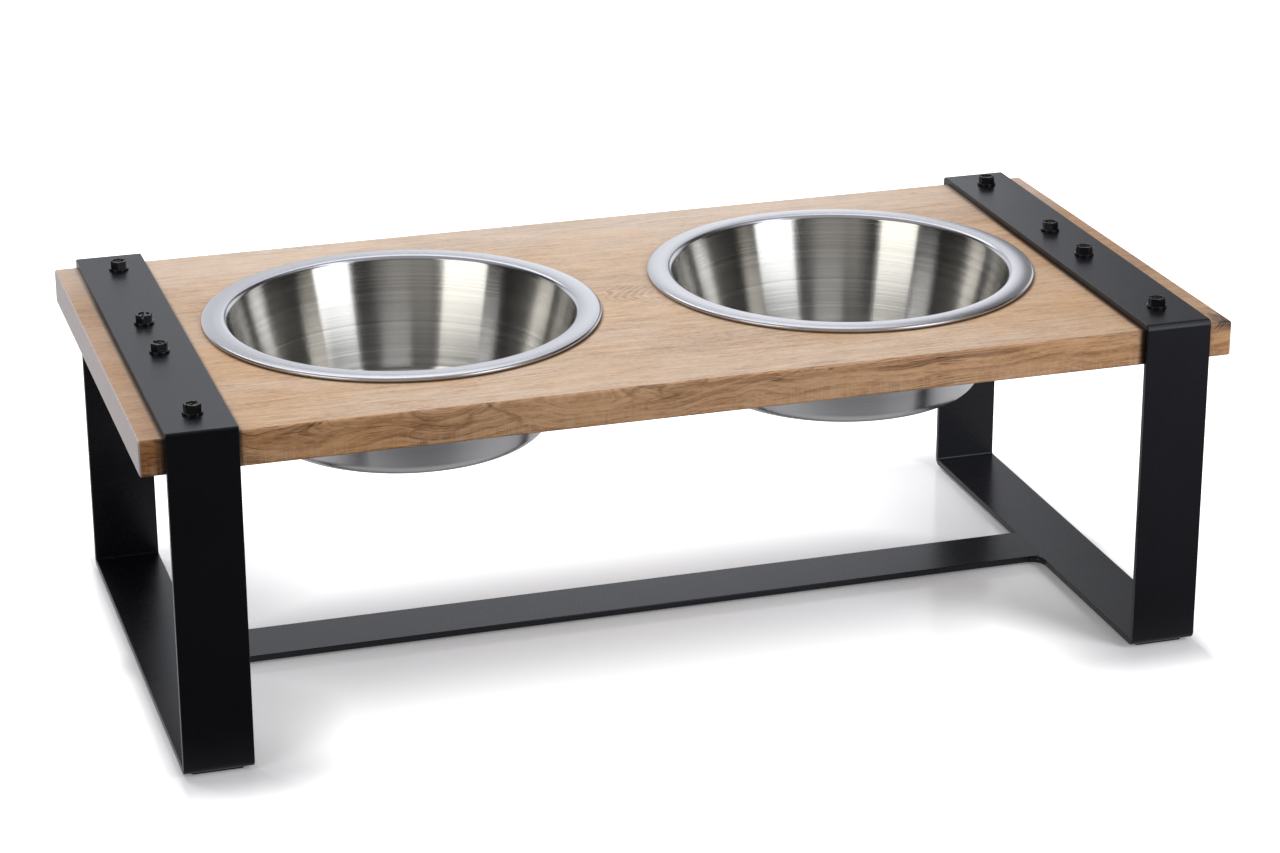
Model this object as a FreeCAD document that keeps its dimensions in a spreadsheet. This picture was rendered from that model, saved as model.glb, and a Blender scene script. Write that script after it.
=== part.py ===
import FreeCAD, Part
import os
import Sketcher

# A raised pet feeding station: a wooden board with two drop-in steel bowls, carried by two closed
# loops of flat bar that wrap the board and are joined on the floor by a stretcher of the same bar.
# Millimetres. +X runs along the board, -Y is the front, +Z is up.
# The origin is on the floor, under the middle of the board.

# Driving dimensions, one named cell each
SIZES = {
    # flat bar of the leg loops and the stretcher
    "bar_width": 40,
    "bar_thick": 4,
    "bend_inner": 1,
    # wooden board, and the room that the bowls and the loops leave on it
    "board_thick": 21,
    "board_ease": 1,
    "board_gap": 0.5,
    "board_overhang": 14,
    "strip_gap": 11.5,
    "bowl_gap": 39,
    "front_margin": 42.5,
    "back_margin": 30.5,
    "under_board": 174,
    # pressed bowls
    "mouth_dia": 206,
    "wall_lean": 19,
    "bowl_depth": 69.5,
    "floor_round": 9.5,
    "mouth_round": 3,
    "flange_width": 14.5,
    "rim_height": 3,
    "rim_round": 2.4,
    "rim_land": 0.4,
    "sheet_thick": 0.8,
    "cutout_clear": 2.5,
    # hex washer head screws
    "screw_inset": 28.5,
    "screw_pair": 52,
    "row_shift": 3.5,
    "screw_stray": 2,
    "shank_dia": 5.5,
    "tip_cover": 6,
    "tip_length": 4,
    "head_flats": 8.8,
    "head_height": 5.6,
    "washer_lip": 0.8,
    "washer_thick": 1.2,
    "dish_land": 1,
    "dish_depth": 0.7,
    "slot_width": 1.4,
    "slot_depth": 1.5,
    "strip_slack": 0.4,
    "pilot_slack": 0.15,
    # rubber foot pads
    "pad_thick": 2,
    "pad_margin": 5,
    "pad_edge": 1,
    "pad_depth": 30,
    "pad_round": 2,
}

# Sizes worked out from the driving ones
RIM_RADIUS = "(sizes.mouth_dia / 2 + sizes.flange_width)"
BOARD_LENGTH = (
    "(2 * (sizes.board_overhang + sizes.bar_width + sizes.strip_gap)"
    f" + 4 * {RIM_RADIUS} + sizes.bowl_gap)"
)
BOARD_DEPTH = f"(2 * {RIM_RADIUS} + sizes.front_margin + sizes.back_margin)"
BOARD_ROUND = "(sizes.bend_inner + sizes.board_ease)"
BOARD_UNDER = "(sizes.pad_thick + sizes.bar_thick + sizes.under_board)"
BOARD_TOP = f"({BOARD_UNDER} + sizes.board_thick)"
LOOP_INNER_DEPTH = f"({BOARD_DEPTH} + 2 * sizes.board_gap)"
LOOP_DEPTH = f"({LOOP_INNER_DEPTH} + 2 * sizes.bar_thick)"
LOOP_INNER_HEIGHT = "(sizes.under_board + sizes.board_thick)"
LOOP_HEIGHT = f"({LOOP_INNER_HEIGHT} + 2 * sizes.bar_thick)"
LOOP_X = f"({BOARD_LENGTH} / 2 - sizes.board_overhang - sizes.bar_width / 2)"
BEND_OUTER = "(sizes.bend_inner + sizes.bar_thick)"
STRETCHER_LENGTH = f"(2 * {LOOP_X} - sizes.bar_width)"
BOWL_X = f"({RIM_RADIUS} + sizes.bowl_gap / 2)"
BOWL_Y = "((sizes.front_margin - sizes.back_margin) / 2)"
WALL_RISE = "(sizes.bowl_depth + sizes.rim_height - sizes.sheet_thick)"
WALL_SLOPE = f"(sizes.wall_lean / {WALL_RISE})"
WALL_SHIFT = f"(sizes.sheet_thick * sqrt(1 + {WALL_SLOPE} ^ 2))"
FLOOR_RADIUS = "(sizes.mouth_dia / 2 - sizes.wall_lean)"
FLANGE_UNDER = WALL_RISE
WALL_OUTSET = f"({WALL_SHIFT} - {WALL_SLOPE} * sizes.sheet_thick)"
RIM_ROUND = "min(sizes.rim_round; sizes.rim_height - sizes.rim_land)"
CUTOUT_RADIUS = f"(sizes.mouth_dia / 2 + {WALL_SHIFT} + sizes.cutout_clear)"
SCREW_LENGTH = "(sizes.bar_thick + sizes.board_thick - sizes.tip_cover)"
SCREW_TOP = f"({SCREW_LENGTH} + sizes.head_height)"
PILOT_DEPTH = "(sizes.board_thick - sizes.tip_cover + sizes.pilot_slack)"
HEX_CORNER = "(sizes.head_flats / sqrt(3))"
SCREW_NEAR = "(sizes.screw_pair / 2)"
SCREW_FAR = f"({LOOP_DEPTH} / 2 - sizes.screw_inset)"
PAD_WIDTH = "(sizes.bar_width - 2 * sizes.pad_margin)"
PAD_Y = f"({LOOP_DEPTH} / 2 - {BEND_OUTER} - sizes.pad_edge - sizes.pad_depth / 2)"

SIDES = {"left": "-", "right": ""}
ENDS = {"front": "-", "rear": ""}
# how far back each row of screws was drilled, which screw strayed inwards, and how far each slot was
# left turned
ROW_SHIFTS = {"left": "0", "right": "sizes.row_shift"}
STRAYS = {"left": ["sizes.screw_stray", "0", "0", "0"], "right": ["0", "0", "0", "0"]}
SLOT_TURNS = {"left": [15, 70, 130, 40], "right": [150, 140, 155, 145]}
TOLERANCE = 1e-4

doc = FreeCAD.newDocument("feeding_station")
sheet = doc.addObject("Spreadsheet::Sheet", "sizes")
for row, (alias, value) in enumerate(SIZES.items(), start=1):
    sheet.set(f"A{row}", alias)
    sheet.set(f"B{row}", str(value))
    sheet.setAlias(f"B{row}", alias)
doc.recompute()


def new_body(label, x="0", y="0", z="0", turn=0):
    """A body named for its piece, with its place tied to the sizes and an optional turn about Z."""
    body = doc.addObject("PartDesign::Body", label)
    body.Label = label
    body.Placement.Rotation = FreeCAD.Rotation(FreeCAD.Vector(0, 0, 1), turn)
    for axis, place in (("x", x), ("y", y), ("z", z)):
        body.setExpression(f"Placement.Base.{axis}", place)
    return body


def new_sketch(body, name, role, lift="0"):
    """A sketch on one of the body's own planes, lifted off it along its normal."""
    plane = next(item for item in body.Origin.OriginFeatures if item.Role == role)
    sketch = body.newObject("Sketcher::SketchObject", name)
    sketch.AttachmentSupport = [(plane, "")]
    sketch.MapMode = "FlatFace"
    sketch.setExpression("AttachmentOffset.Base.z", lift)
    return sketch


def hold(sketch, line, point, kind, distance):
    """Holds one coordinate of a sketch point: "0" is on the axis, a leading minus is below zero."""
    axis_line = {"DistanceX": -2, "DistanceY": -1}[kind]
    start = 1.0
    if distance == "0":
        sketch.addConstraint(Sketcher.Constraint("PointOnObject", line, point, axis_line))
    elif distance.startswith("-"):
        index = sketch.addConstraint(Sketcher.Constraint(kind, line, point, -1, 1, start))
        sketch.setExpression(f"Constraints[{index}]", distance[1:])
    else:
        index = sketch.addConstraint(Sketcher.Constraint(kind, -1, 1, line, point, start))
        sketch.setExpression(f"Constraints[{index}]", distance)


def outline(sketch, corners):
    """A closed run of straight lines through the corners, each corner held at its own sizes."""
    signs = [[-1 if place.startswith("-") else int(place != "0") for place in c] for c in corners]
    points = [FreeCAD.Vector(x * (1 + k), y * (1 + k), 0) for k, (x, y) in enumerate(signs)]
    for k, point in enumerate(points):
        sketch.addGeometry(Part.LineSegment(point, points[(k + 1) % len(points)]), False)
    for k in range(len(points)):
        follower = (k + 1) % len(points)
        sketch.addConstraint(Sketcher.Constraint("Coincident", k, 2, follower, 1))
    for k, (x, y) in enumerate(corners):
        hold(sketch, k, 1, "DistanceX", x)
        hold(sketch, k, 1, "DistanceY", y)


def rectangle(sketch, width, height):
    """A rectangle about the sketch's origin."""
    half_width = f"{width} / 2"
    half_height = f"{height} / 2"
    outline(sketch, [
        ("-" + half_width, "-" + half_height),
        (half_width, "-" + half_height),
        (half_width, half_height),
        ("-" + half_width, half_height),
    ])


def circles(sketch, centres, radius):
    """Equal circles about the given centres."""
    for x, y in centres:
        middle = FreeCAD.Vector(-1 if x.startswith("-") else 1, -1 if y.startswith("-") else 1, 0)
        index = sketch.addGeometry(Part.Circle(middle, FreeCAD.Vector(0, 0, 1), 1), False)
        hold(sketch, index, 3, "DistanceX", x)
        hold(sketch, index, 3, "DistanceY", y)
        radius_index = sketch.addConstraint(Sketcher.Constraint("Radius", index, 1.0))
        sketch.setExpression(f"Constraints[{radius_index}]", radius)


def pad(body, sketch, length, symmetric=False):
    """Raises a sketch into a solid."""
    feature = body.newObject("PartDesign::Pad", "pad")
    feature.Profile = sketch
    feature.SideType = "Symmetric" if symmetric else "One side"
    feature.setExpression("Length", length)
    doc.recompute()
    return feature


def cut(body, sketch, depth=None, upward=False, symmetric=False):
    """Cuts a sketch out of the solid, right through if no depth is given, and checks that it cut."""
    volume_before = body.Tip.Shape.Volume
    feature = body.newObject("PartDesign::Pocket", "pocket")
    feature.Profile = sketch
    feature.SideType = "Symmetric" if symmetric else "One side"
    feature.Reversed = upward
    if depth is None:
        feature.Type = "ThroughAll"
    else:
        feature.setExpression("Length", depth)
    doc.recompute()
    if feature.Shape.Volume >= volume_before - TOLERANCE:
        raise RuntimeError(f"{body.Label}: {sketch.Name} cuts nothing")
    return feature


def revolve(body, sketch):
    """Turns a half profile about its vertical axis."""
    feature = body.newObject("PartDesign::Revolution", "revolution")
    feature.Profile = sketch
    feature.ReferenceAxis = (sketch, ["V_Axis"])
    feature.Angle = 360
    doc.recompute()
    return feature


def fillet(body, edges, radius):
    """Rounds the named edges of the body's last feature, or all of them if none are named."""
    base = body.Tip
    feature = body.newObject("PartDesign::Fillet", "fillet")
    feature.Base = (base, edges or ["Edge1"])
    feature.UseAllEdges = not edges
    feature.setExpression("Radius", radius)
    doc.recompute()
    return feature


def edge_names(body, matches):
    """Names of the edges of the body's last feature for which matches(edge) is true."""
    edges = body.Tip.Shape.Edges
    return [f"Edge{number}" for number, edge in enumerate(edges, start=1) if matches(edge)]


def ring_edges(body, sketch, corner):
    """Names of the round edges that one corner of a revolved half profile sweeps."""
    spot = sketch.Geometry[corner].StartPoint

    def matches(edge):
        if not isinstance(edge.Curve, Part.Circle):
            return False
        same_radius = abs(edge.Curve.Radius - spot.x) < TOLERANCE
        return same_radius and abs(edge.Curve.Center.z - spot.y) < TOLERANCE

    return edge_names(body, matches)


def bend_edges(body, sketch):
    """Names of the edges along X that start at the corners of a sketch on the YZ plane."""
    spots = [line.StartPoint for line in sketch.Geometry]

    def matches(edge):
        ends = [vertex.Point for vertex in edge.Vertexes]
        return any(
            all(abs(end.y - spot.x) < TOLERANCE and abs(end.z - spot.y) < TOLERANCE for end in ends)
            for spot in spots
        )

    return edge_names(body, matches)


def upright_edges(body):
    """Names of the edges that run along Z."""

    def matches(edge):
        run = edge.Vertexes[-1].Point - edge.Vertexes[0].Point
        return abs(run.x) < TOLERANCE and abs(run.y) < TOLERANCE

    return edge_names(body, matches)


def screw_rows(side):
    """Places of a strip's screws along Y, from the back to the front."""
    shift = ROW_SHIFTS[side]
    back = [f"({place} + {shift})" for place in (SCREW_FAR, SCREW_NEAR)]
    front = [f"-({place} - {shift})" for place in (SCREW_NEAR, SCREW_FAR)]
    return back + front


def screw_places(side):
    """Places of a strip's screws on the board."""
    return [(f"{SIDES[side]}({LOOP_X} - {stray})", y) for stray, y in zip(STRAYS[side], screw_rows(side))]


def make_board():
    """The board: eased all round, with two cut-outs for the bowls and pilot holes for the screws."""
    body = new_body("board", z=BOARD_UNDER)
    plan = new_sketch(body, "board_plan", "XY_Plane")
    rectangle(plan, BOARD_LENGTH, BOARD_DEPTH)
    pad(body, plan, "sizes.board_thick")
    fillet(body, [], BOARD_ROUND)
    cutouts = new_sketch(body, "board_cutouts", "XY_Plane")
    circles(cutouts, [(sign + BOWL_X, BOWL_Y) for sign in SIDES.values()], CUTOUT_RADIUS)
    cut(body, cutouts, upward=True)
    pilots = new_sketch(body, "board_pilots", "XY_Plane", lift="sizes.board_thick")
    places = [place for side in SIDES for place in screw_places(side)]
    circles(pilots, places, "sizes.shank_dia / 2 + sizes.pilot_slack")
    cut(body, pilots, depth=PILOT_DEPTH)
    return body


def make_leg_loop(side):
    """A closed loop of flat bar: a strip over the board, two legs and a strip on the floor."""
    body = new_body(f"{side}_leg_loop", x=SIDES[side] + LOOP_X, z=f"sizes.pad_thick + {LOOP_HEIGHT} / 2")
    outside = new_sketch(body, "loop_outside", "YZ_Plane")
    rectangle(outside, LOOP_DEPTH, LOOP_HEIGHT)
    pad(body, outside, "sizes.bar_width", symmetric=True)
    fillet(body, bend_edges(body, outside), BEND_OUTER)
    inside = new_sketch(body, "loop_inside", "YZ_Plane")
    rectangle(inside, LOOP_INNER_DEPTH, LOOP_INNER_HEIGHT)
    cut(body, inside, symmetric=True)
    fillet(body, bend_edges(body, inside), "sizes.bend_inner")
    holes = new_sketch(body, "loop_holes", "XY_Plane")
    circles(holes, list(zip(STRAYS[side], screw_rows(side))), "sizes.shank_dia / 2 + sizes.strip_slack")
    cut(body, holes, upward=True)
    return body


def make_stretcher():
    """The floor bar, welded between the floor strips of the two loops."""
    body = new_body("stretcher", z="sizes.pad_thick")
    plan = new_sketch(body, "stretcher_plan", "XY_Plane")
    rectangle(plan, STRETCHER_LENGTH, "sizes.bar_width")
    pad(body, plan, "sizes.bar_thick")
    return body


def make_bowl(side):
    """A pressed bowl: flat floor, leaning wall, and a flange turned down at its edge on to the board."""
    body = new_body(f"{side}_bowl", SIDES[side] + BOWL_X, BOWL_Y, f"{BOARD_TOP} - sizes.bowl_depth")
    half = new_sketch(body, "bowl_half", "XZ_Plane")
    rim_top = "sizes.bowl_depth + sizes.rim_height"
    lip_inside = f"{RIM_RADIUS} - sizes.sheet_thick"
    outline(half, [
        ("0", "0"),
        (f"{FLOOR_RADIUS} + {WALL_OUTSET}", "0"),
        (f"sizes.mouth_dia / 2 + {WALL_OUTSET}", FLANGE_UNDER),
        (lip_inside, FLANGE_UNDER),
        (lip_inside, "sizes.bowl_depth"),
        (RIM_RADIUS, "sizes.bowl_depth"),
        (RIM_RADIUS, rim_top),
        ("sizes.mouth_dia / 2", rim_top),
        (FLOOR_RADIUS, "sizes.sheet_thick"),
        ("0", "sizes.sheet_thick"),
    ])
    revolve(body, half)
    # the corners of the half profile that are rounded, outside and inside each bend of the sheet
    rounds = [
        (1, "sizes.floor_round"),
        (8, "sizes.floor_round - sizes.sheet_thick"),
        (7, "sizes.mouth_round"),
        (2, "sizes.mouth_round - sizes.sheet_thick"),
        (6, RIM_ROUND),
        (3, f"{RIM_ROUND} - sizes.sheet_thick"),
    ]
    for corner, radius in rounds:
        fillet(body, ring_edges(body, half, corner), radius)
    return body


def make_screw(side, number):
    """A wood screw with a hex washer head, dished and slotted on top, its tip at the body's origin."""
    turn = SLOT_TURNS[side][number]
    height = f"{BOARD_TOP} + sizes.bar_thick - {SCREW_LENGTH}"
    body = new_body(f"{side}_screw_{number + 1}", *screw_places(side)[number], height, turn)
    half = new_sketch(body, "screw_half", "XZ_Plane")
    outline(half, [
        ("0", "0"),
        ("sizes.shank_dia / 2", "sizes.tip_length"),
        ("sizes.shank_dia / 2", SCREW_LENGTH),
        (f"{HEX_CORNER} + sizes.washer_lip", SCREW_LENGTH),
        (f"{HEX_CORNER} + sizes.washer_lip", f"{SCREW_LENGTH} + sizes.washer_thick"),
        ("0", f"{SCREW_LENGTH} + sizes.washer_thick"),
    ])
    revolve(body, half)
    hexagon = new_sketch(body, "screw_hexagon", "XY_Plane", lift=SCREW_LENGTH)
    half_flats = "sizes.head_flats / 2"
    half_side = f"{HEX_CORNER} / 2"
    outline(hexagon, [
        (HEX_CORNER, "0"),
        (half_side, half_flats),
        ("-" + half_side, half_flats),
        ("-" + HEX_CORNER, "0"),
        ("-" + half_side, "-" + half_flats),
        (half_side, "-" + half_flats),
    ])
    pad(body, hexagon, "sizes.head_height")
    dish = new_sketch(body, "screw_dish", "XY_Plane", lift=SCREW_TOP)
    circles(dish, [("0", "0")], "sizes.head_flats / 2 - sizes.dish_land")
    cut(body, dish, depth="sizes.dish_depth")
    slot = new_sketch(body, "screw_slot", "XY_Plane", lift=SCREW_TOP)
    rectangle(slot, f"4 * {HEX_CORNER}", "sizes.slot_width")
    cut(body, slot, depth="sizes.slot_depth")
    return body


def make_foot_pad(side, end):
    """A thin rubber pad under one corner of a loop, clear of the bend."""
    body = new_body(f"{side}_{end}_foot_pad", x=SIDES[side] + LOOP_X, y=ENDS[end] + PAD_Y)
    plan = new_sketch(body, "pad_plan", "XY_Plane")
    rectangle(plan, PAD_WIDTH, "sizes.pad_depth")
    pad(body, plan, "sizes.pad_thick")
    fillet(body, upright_edges(body), "sizes.pad_round")
    return body


parts = [make_board(), make_stretcher()]
for side in SIDES:
    parts.append(make_leg_loop(side))
    parts.append(make_bowl(side))
    for number in range(len(SLOT_TURNS[side])):
        parts.append(make_screw(side, number))
    for end in ENDS:
        parts.append(make_foot_pad(side, end))
doc.recompute()

for item in doc.Objects:
    if "Invalid" in item.State or "Error" in item.State:
        raise RuntimeError(f"{item.Label} failed: {item.State}")
for part in parts:
    shape = part.Shape
    if shape.isNull() or not shape.isValid() or len(shape.Solids) != 1:
        raise RuntimeError(f"{part.Label} isn't one valid solid")

os.makedirs("parts", exist_ok=True)
for part in parts:
    part.Shape.exportStep(f"parts/{part.Label}.step")
    box = part.Shape.BoundBox
    print(f"{part.Label}: {part.Shape.Volume / 1000:.2f} cm3, z {box.ZMin:.1f} to {box.ZMax:.1f} mm")
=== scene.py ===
# %% [markdown]
# # A raised feeding station
# A thick wooden board carries two steel bowls. Two loops of black flat bar wrap round the board
# near its ends and stand on the floor, and a flat stretcher ties the loops together.
# The CAD model already holds every size and every joint, so it is loaded first as a fixed frame.
# This script then dresses it: finer shapes in the same places, finishes, light and a camera.

# %% Load the CAD frame
import math

import bmesh
import bpy
from mathutils import Matrix, Vector


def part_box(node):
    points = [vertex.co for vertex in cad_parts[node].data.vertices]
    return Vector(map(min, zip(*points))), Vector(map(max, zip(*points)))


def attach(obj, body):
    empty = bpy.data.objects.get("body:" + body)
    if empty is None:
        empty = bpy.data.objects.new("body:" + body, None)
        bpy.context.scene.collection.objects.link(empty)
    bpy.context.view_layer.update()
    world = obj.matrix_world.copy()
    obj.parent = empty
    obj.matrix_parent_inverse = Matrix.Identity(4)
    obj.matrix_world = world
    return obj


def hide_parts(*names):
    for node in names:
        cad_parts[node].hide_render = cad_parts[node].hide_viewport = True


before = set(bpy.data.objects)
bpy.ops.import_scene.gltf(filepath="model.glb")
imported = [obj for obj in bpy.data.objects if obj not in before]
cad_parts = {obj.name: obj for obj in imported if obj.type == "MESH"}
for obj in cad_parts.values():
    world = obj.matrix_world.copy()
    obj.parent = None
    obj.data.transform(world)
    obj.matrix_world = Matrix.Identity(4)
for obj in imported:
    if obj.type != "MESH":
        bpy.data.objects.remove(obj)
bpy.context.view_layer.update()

MM = 0.001

# %% [markdown]
# ## The camera
# The stand is seen from the front left and from above, through a long lens, so that its edges
# hardly converge. A camera can be placed by eye, but here the place, the turn and the focal
# length come from a fit to the corners of the board and the bars. The turn is built from three
# plain rotations: swing round the upright axis, tip down, and a trace of roll.

# %% Place the camera
CAMERA_PLACE = Vector((-0.57027, -1.87894, 0.86385))
SWING, TIP, ROLL = math.radians(17.0854), math.radians(20.831), math.radians(-0.2381)
FOCAL_PIXELS, IMAGE_WIDTH, SENSOR_MM = 3465.58, 1280, 36.0

lens = bpy.data.cameras.new("photo_camera")
lens.sensor_width = SENSOR_MM
lens.lens = FOCAL_PIXELS * SENSOR_MM / IMAGE_WIDTH
camera = bpy.data.objects.new("photo_camera", lens)
bpy.context.collection.objects.link(camera)
level = Matrix.Rotation(math.radians(90) - TIP, 4, "X") @ Matrix.Rotation(ROLL, 4, "Z")
camera.matrix_world = Matrix.Translation(CAMERA_PLACE) @ Matrix.Rotation(-SWING, 4, "Z") @ level
bpy.context.scene.camera = camera
bpy.context.scene.view_settings.view_transform = "Standard"
print("focal length in mm:", round(lens.lens, 2))

# %% [markdown]
# ## Writing shaders as sums
# Every finish below is a node tree. Dragging wires by hand is fine for one material, but in a
# script a wave of noise is easier to read as `0.4 + 0.1 * cloud`. So one small class wraps a
# socket and turns arithmetic into Math nodes, and a second one adds any other node: its settings
# come first, then the values or wires of its sockets.

# %% A socket with arithmetic, and a tree that grows node by node
class Wire:
    """One output of a node. Arithmetic on it adds Math nodes."""

    def __init__(self, tree, socket):
        self.tree = tree
        self.socket = socket

    def math(self, operation, *values):
        return self.tree.node("Math", {"operation": operation}, dict(enumerate(values)))

    def output(self, name):
        return Wire(self.tree, self.socket.node.outputs[name])

    def __add__(self, other):
        return self.math("ADD", self, other)

    def __radd__(self, other):
        return self.math("ADD", other, self)

    def __sub__(self, other):
        return self.math("SUBTRACT", self, other)

    def __rsub__(self, other):
        return self.math("SUBTRACT", other, self)

    def __mul__(self, other):
        return self.math("MULTIPLY", self, other)

    def __rmul__(self, other):
        return self.math("MULTIPLY", other, self)

    def __truediv__(self, other):
        return self.math("DIVIDE", self, other)

    def __pow__(self, other):
        return self.math("POWER", self, other)

    def __abs__(self):
        return self.math("ABSOLUTE", self)


class Finish:
    """The node tree of a material or a world."""

    def __init__(self, owner):
        owner.use_nodes = True
        self.owner = owner
        self.tree = owner.node_tree
        self.tree.nodes.clear()

    def node(self, kind, settings=None, sockets=None, out=0):
        """Adds a node, sets it up, fills its sockets and returns one of its outputs."""
        made = self.tree.nodes.new("ShaderNode" + kind)
        for name, value in (settings or {}).items():
            if name == "stops":
                self.fill_ramp(made.color_ramp.elements, value)
            else:
                setattr(made, name, value)
        for name, value in (sockets or {}).items():
            if isinstance(value, Wire):
                self.tree.links.new(value.socket, made.inputs[name])
            else:
                made.inputs[name].default_value = value
        return Wire(self, made.outputs[out]) if made.outputs else None

    def fill_ramp(self, elements, stops):
        """Gives a colour ramp its stops: a place and a linear colour each."""
        while len(elements) < len(stops):
            elements.new(1.0)
        for element, (place, colour) in zip(elements, stops):
            element.position = place
            element.color = (*colour, 1.0)

    def noise(self, vector, scale, detail=2.0, roughness=0.5):
        sockets = {"Vector": vector, "Scale": scale, "Detail": detail, "Roughness": roughness}
        return self.node("TexNoise", {"noise_dimensions": "3D"}, sockets)

    def layers(self, distance, detail):
        """Noise that changes along one line only, as growth rings do."""
        sockets = {"W": distance, "Scale": 1.0, "Detail": detail}
        return self.node("TexNoise", {"noise_dimensions": "1D"}, sockets)

    def stretch(self, vector, scale, shift=(0, 0, 0)):
        sockets = {"Vector": vector, "Scale": scale, "Location": shift}
        return self.node("Mapping", {"vector_type": "POINT"}, sockets)

    def step(self, value, start, end):
        """Rises smoothly from 0 at start to 1 at end."""
        settings = {"interpolation_type": "SMOOTHSTEP", "clamp": True}
        return self.node("MapRange", settings, {"Value": value, "From Min": start, "From Max": end})

    def blend(self, factor, first, second, way="MIX"):
        """Mixes two colours."""
        def colour(value):
            return value if isinstance(value, Wire) else (*value, 1.0)
        settings = {"data_type": "RGBA", "blend_type": way, "clamp_factor": True}
        return self.node("Mix", settings, {0: factor, 6: colour(first), 7: colour(second)}, out=2)

    def surface(self, shader):
        self.node("OutputMaterial", sockets={"Surface": shader})
        return self.owner


print("shader helpers ready")

# %% [markdown]
# ## Studio light
# The stand was photographed on white, under a broad soft light from above, with two tall
# softboxes in front that show as upright bands in the brushed steel. Polished metal shows the room
# more than the lamps, so the room is painted on the world by compass direction, for mirror rays
# alone: a white backdrop behind, dark studio in front, and higher up a dark gap, a bright band
# behind and a grey ceiling with one strip light. To all other rays the world is an even pale grey.

# %% The room, by direction
LOW_ROOM = [
    # degrees from the front towards the right, brightness, warmth
    (-180, 0.85, 0.0), (-152, 1.05, 0.0), (-143, 0.40, 0.2), (-137, 0.03, 0.3), (-133, 0.48, 0.6),
    (-124, 0.50, 0.6), (-117, 0.01, 0.3), (-80, 0.01, 0.2), (-44, 0.02, 0.3), (-32, 0.40, 0.5),
    (-8, 0.42, 0.5), (10, 0.05, 0.4), (44, 0.02, 0.6), (50, 0.21, 0.9),
    (55, 0.17, 0.9), (60, 0.01, 0.4), (90, 0.01, 0.2), (94, 0.70, 0.2), (103, 0.74, 0.2),
    (107, 0.03, 0.2), (116, 0.03, 0.2), (121, 0.70, 0.2), (128, 1.05, 0.1), (143, 1.15, 0.1),
    (148, 0.25, 0.0), (154.5, 0.28, 0.0), (158.5, 1.28, 0.0), (164, 1.18, 0.0), (171, 0.78, 0.0),
    (180, 0.90, 0.0),
]
HIGH_ROOM = [
    (-180, 2.20, 0.0), (-165, 1.90, 0.0), (-156, 0.05, 0.2), (152, 0.05, 0.2), (158, 1.90, 0.0),
    (180, 2.20, 0.0),
]
COOL_WHITE, WARM_WHITE = (0.94, 0.955, 1.0), (1.0, 0.9, 0.74)
FILL_LIGHT, GAP, CEILING, STRIP_LIGHT = 0.26, (0.05, 0.05, 0.05), (0.42, 0.42, 0.43), (2.2, 2.25, 2.4)
# each zone of the room comes in between two heights, given as the Z of a direction
GAP_RISE, HIGH_RISE, CEILING_RISE, LIGHT_RISE = (0.395, 0.45), (0.46, 0.54), (0.66, 0.82), (0.62, 0.72)
LIGHT_X, LIGHT_SIDE, LIGHT_FRONT = 0.42, (0.10, 0.06), (-0.1, 0.05)


def room_stops(room):
    stops = []
    for degrees, brightness, warmth in room:
        tint = [cool + warmth * (warm - cool) for cool, warm in zip(COOL_WHITE, WARM_WHITE)]
        stops.append((degrees / 360 + 0.5, tuple(brightness * part for part in tint)))
    return stops


def make_studio():
    world = bpy.data.worlds.new("studio")
    bpy.context.scene.world = world
    world.cycles.sampling_method = "NONE"
    studio = Finish(world)
    x = studio.node("SeparateXYZ", sockets={"Vector": studio.node("TexCoord", out="Generated")})
    y, z = x.output("Y"), x.output("Z")
    turn = x.math("ARCTAN2", x, -1 * y) / (2 * math.pi) + 0.5
    low = studio.node("ValToRGB", {"stops": room_stops(LOW_ROOM)}, {"Fac": turn})
    high = studio.node("ValToRGB", {"stops": room_stops(HIGH_ROOM)}, {"Fac": turn})
    room = studio.blend(studio.step(z, *GAP_RISE), low, GAP)
    room = studio.blend(studio.step(z, *HIGH_RISE), room, high)
    room = studio.blend(studio.step(z, *CEILING_RISE), room, CEILING)
    strip = studio.step(abs(x - LIGHT_X), *LIGHT_SIDE) * studio.step(-1 * y, *LIGHT_FRONT)
    room = studio.blend(strip * studio.step(z, *LIGHT_RISE), room, STRIP_LIGHT)
    path = studio.node("LightPath", out="Is Camera Ray")
    light = studio.blend(path.output("Is Glossy Ray"), (FILL_LIGHT,) * 3, room)
    seen = path.math("MAXIMUM", path, path.output("Is Transmission Ray"))
    light = studio.blend(seen, light, (1.0, 1.0, 1.0))
    shader = studio.node("Background", sockets={"Color": light})
    studio.node("OutputWorld", sockets={"Surface": shader})
    return world


print("world:", make_studio().name, "with", len(LOW_ROOM) + len(HIGH_ROOM), "stops round the room")

# %% [markdown]
# ## Lamps
# Area lamps give soft edges to every shadow. Three of them light the stand and stay out of its
# mirrors, at a level where a colour renders about as it is written. The two softboxes are near, so
# each bowl sees them at another angle, which a painted room can't do. They are lamps that only
# mirrors see.

# %% Lamps that light, and softboxes that mirrors see
LAMPS = [
    # name, place, watts, width and height, seen by mirrors, colour
    ("overhead_lamp", (-0.4, 0.9, 1.75), 21.0, (1.5, 1.2), False, (1.0, 1.0, 1.0)),
    ("front_right_lamp", (1.1, -1.3, 0.75), 16.5, (0.6, 1.2), False, (1.0, 1.0, 1.0)),
    ("front_left_lamp", (-1.35, -0.9, 1.0), 4.0, (0.6, 1.2), False, (1.0, 1.0, 1.0)),
    ("left_softbox", (-1.27, -0.68, 0.65), 7.2, (0.78, 1.3), True, (1.0, 0.985, 0.93)),
    ("right_softbox", (0.88, -1.345, 0.65), 8.75, (0.80, 1.3), True, (0.96, 0.98, 1.0)),
]
LAMP_TARGET = Vector((0.0, 0.0, 0.15))


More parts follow.
